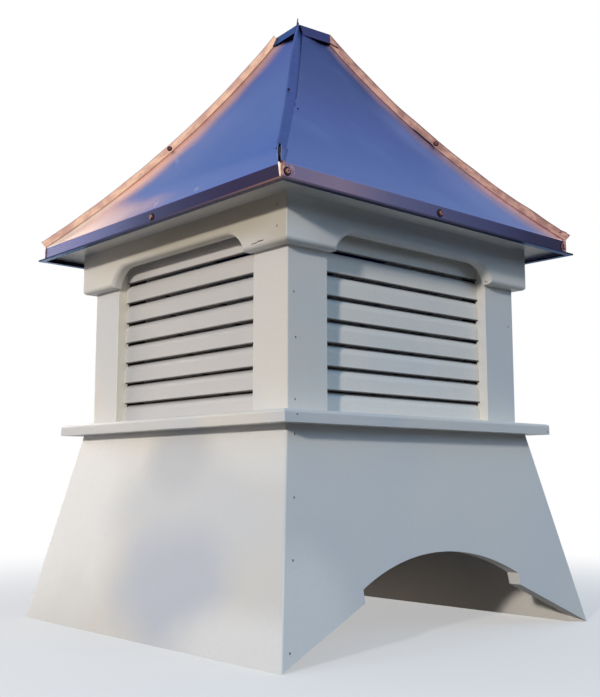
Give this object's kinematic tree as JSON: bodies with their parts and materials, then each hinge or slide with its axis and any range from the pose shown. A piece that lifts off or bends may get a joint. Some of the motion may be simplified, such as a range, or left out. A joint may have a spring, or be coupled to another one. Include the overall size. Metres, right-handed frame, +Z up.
{
  "type": "barn cupola",
  "caption": "White louvered cupola with a flared base cut to straddle a roof ridge, rounded frieze cut-outs and a concave copper roof with standing hip seams.",
  "frame": {"origin": "middle of the footprint, at the level of the base's lowest feet", "axes": "+Z up; the front looks along -Y; the roof ridge that the base straddles runs along X, through the cuts in the left (-X) and right (+X) base boards"},
  "size_m": [0.6094, 0.61, 0.9478],
  "materials": {
    "white_board": "satin white cellular PVC board",
    "white_slat": "satin white PVC slat",
    "copper_sheet": "new bright copper sheet",
    "copper_seam": "new bright copper, folded",
    "copper_cap": "new bright copper"
  },
  "bodies": {
    "root": {"base_back": "white_board", "base_front": "white_board", "base_left": "white_board", "base_right": "white_board", "cleats_back": "white_board", "cleats_front": "white_board", "cleats_left": "white_board", "cleats_right": "white_board", "crown_cap": "copper_cap", "frieze_back": "white_board", "frieze_front": "white_board", "frieze_left": "white_board", "frieze_right": "white_board", "header_back": "white_board", "header_front": "white_board", "header_left": "white_board", "header_right": "white_board", "louvres_back": "white_slat", "louvres_front": "white_slat", "louvres_left": "white_slat", "louvres_right": "white_slat", "roof_back": "copper_sheet", "roof_front": "copper_sheet", "roof_left": "copper_sheet", "roof_right": "copper_sheet", "seam_back_left": "copper_seam", "seam_back_right": "copper_seam", "seam_front_left": "copper_seam", "seam_front_right": "copper_seam", "sill_back": "white_board", "sill_front": "white_board", "sill_left": "white_board", "sill_right": "white_board", "soffit_back": "white_board", "soffit_front": "white_board", "soffit_left": "white_board", "soffit_right": "white_board", "stiles_back": "white_board", "stiles_front": "white_board", "stiles_left": "white_board", "stiles_right": "white_board"}
  },
  "joints": []
}
